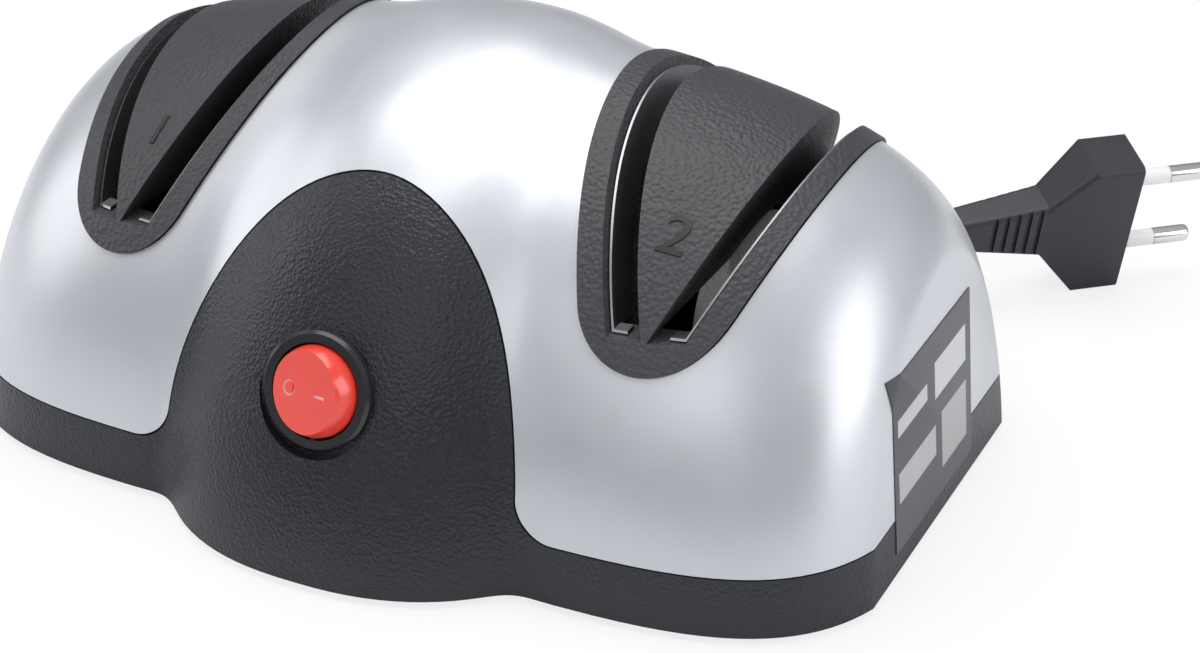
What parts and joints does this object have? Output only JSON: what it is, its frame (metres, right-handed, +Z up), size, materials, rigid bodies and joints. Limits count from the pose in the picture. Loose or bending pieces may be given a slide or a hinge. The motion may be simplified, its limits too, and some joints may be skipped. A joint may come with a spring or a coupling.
{
  "type": "electric knife sharpener",
  "caption": "Electric knife sharpener with two slotted grinding stations on one motor shaft, a round rocker switch, a silver shell on a black base and a coiled mains cord.",
  "frame": {"origin": "under the middle of the housing's footprint, on the table its rubber feet stand on", "axes": "+X from station 1 to station 2 along the motor shaft, -Y towards the user and the switch, +Z up"},
  "size_m": [0.2211, 0.2335, 0.0873],
  "materials": {
    "black_plastic": "fine leather grain",
    "silver_paint": "satin silver paint on moulded plastic",
    "charcoal_plastic": "coarse spark-eroded grain",
    "spring_steel": "bright rolled strip",
    "black_gloss": "smooth",
    "red_gloss": "smooth, glossy",
    "brass": "bright",
    "ground_steel": "ground",
    "steel_laminations": "stacked sheet",
    "copper_wire": "lacquered wire and turned copper",
    "coarse_abrasive": "coarse grit, stands for vitrified abrasive",
    "fine_abrasive": "fine grit, stands for vitrified abrasive",
    "zinc_steel": "zinc plated",
    "bronze": "sintered",
    "ferrite": "fired, matt",
    "carbon": "pressed carbon",
    "rubber_black": "matt",
    "board_green": "lacquered laminate",
    "label_grey": "plain foil sticker",
    "cord_black": "smooth flexible vinyl",
    "nickel": "nickel plated",
    "sleeve_white": "insulating sleeve",
    "lead_blue": "insulated lead"
  },
  "bodies": {
    "housing": {"base": "black_plastic", "upper_shell": "silver_paint", "insert_1": "charcoal_plastic", "insert_2": "charcoal_plastic", "blade_guide_1_left": "spring_steel", "blade_guide_1_right": "spring_steel", "blade_guide_2_left": "spring_steel", "blade_guide_2_right": "spring_steel", "switch_body": "black_gloss", "switch_terminals": "brass", "motor_can": "zinc_steel", "motor_end_cap": "black_plastic", "shaft_bushes": "bronze", "motor_magnets": "ferrite", "carbon_brushes": "carbon", "brush_holders": "brass", "motor_mount_rings": "rubber_black", "motor_straps": "zinc_steel", "strap_screws": "zinc_steel", "case_screws": "zinc_steel", "rubber_feet": "rubber_black", "rectifier_board": "board_green", "board_components": "black_gloss", "cord_clamp": "black_plastic", "clamp_screws": "zinc_steel", "rating_label": "label_grey", "cord_gland": "cord_black", "inner_cord": "cord_black", "cord": "cord_black", "cord_coil": "cord_black", "plug_body": "cord_black", "plug_pins": "nickel", "pin_sleeves": "sleeve_white", "inner_leads": "lead_blue"},
    "rotor": {"shaft": "ground_steel", "armature_core": "steel_laminations", "armature_windings": "copper_wire", "commutator": "copper_wire", "coarse_wheel": "coarse_abrasive", "fine_wheel": "fine_abrasive", "wheel_hubs": "ground_steel", "wheel_nuts": "zinc_steel"},
    "rocker": {"switch_rocker": "red_gloss"}
  },
  "joints": [
    {"name": "rotor_spin", "type": "hinge", "parent": "housing", "child": "rotor", "pos_m": [0, 0.0083, 0.033], "axis": [1, 0, 0], "continuous": true},
    {"name": "rocker_tilt", "type": "hinge", "parent": "housing", "child": "rocker", "pos_m": [0, -0.06141, 0.03659], "axis": [0, 0.309, 0.9511], "range_deg": [0, 26]}
  ]
}
